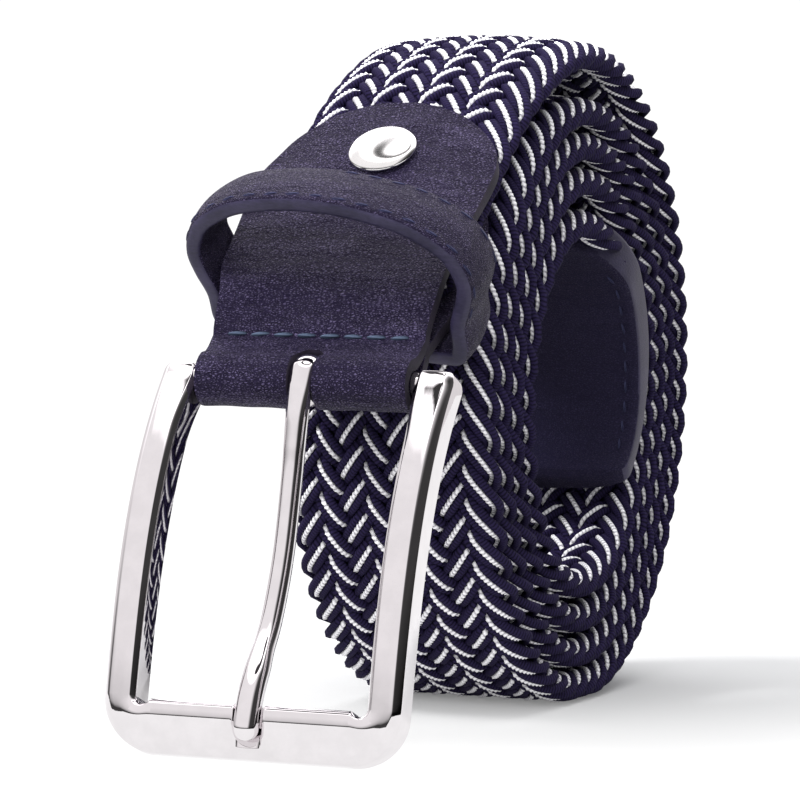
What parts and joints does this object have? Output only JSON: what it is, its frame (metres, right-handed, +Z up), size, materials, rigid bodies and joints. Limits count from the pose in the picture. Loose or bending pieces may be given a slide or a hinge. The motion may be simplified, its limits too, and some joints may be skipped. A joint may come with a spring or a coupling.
{
  "type": "elastic stretch belt",
  "caption": "Braided elastic stretch belt rolled up on its rim, with leather chape, keeper loop and tip, a domed rivet and a square pin buckle.",
  "frame": {"origin": "middle of the bounding box's bottom, on the surface that the belt stands on", "axes": "+X along the roll's axis, -Y towards the buckle, +Z up"},
  "size_m": [0.0486, 0.162, 0.1102],
  "materials": {
    "woven_band": "braided cords, matte, navy with white",
    "chape": "pebbled, satin",
    "keeper_loop": "pebbled, satin",
    "tip": "smooth, satin",
    "rivet": "polished",
    "buckle_frame": "polished",
    "prong": "polished"
  },
  "bodies": {
    "strap": {"woven_band": "woven_band", "chape": "chape", "keeper_loop": "keeper_loop", "tip": "tip", "rivet": "rivet"},
    "buckle": {"buckle_frame": "buckle_frame"},
    "pin": {"prong": "prong"}
  },
  "joints": [
    {"name": "buckle_swing", "type": "hinge", "parent": "strap", "child": "buckle", "pos_m": [0, -0.05765, 0.05465], "axis": [-1, 0, 0], "range_deg": [-25, 50]},
    {"name": "prong_swing", "type": "hinge", "parent": "buckle", "child": "pin", "pos_m": [0, -0.05765, 0.05465], "axis": [-1, 0, 0], "range_deg": [0, 85]}
  ]
}
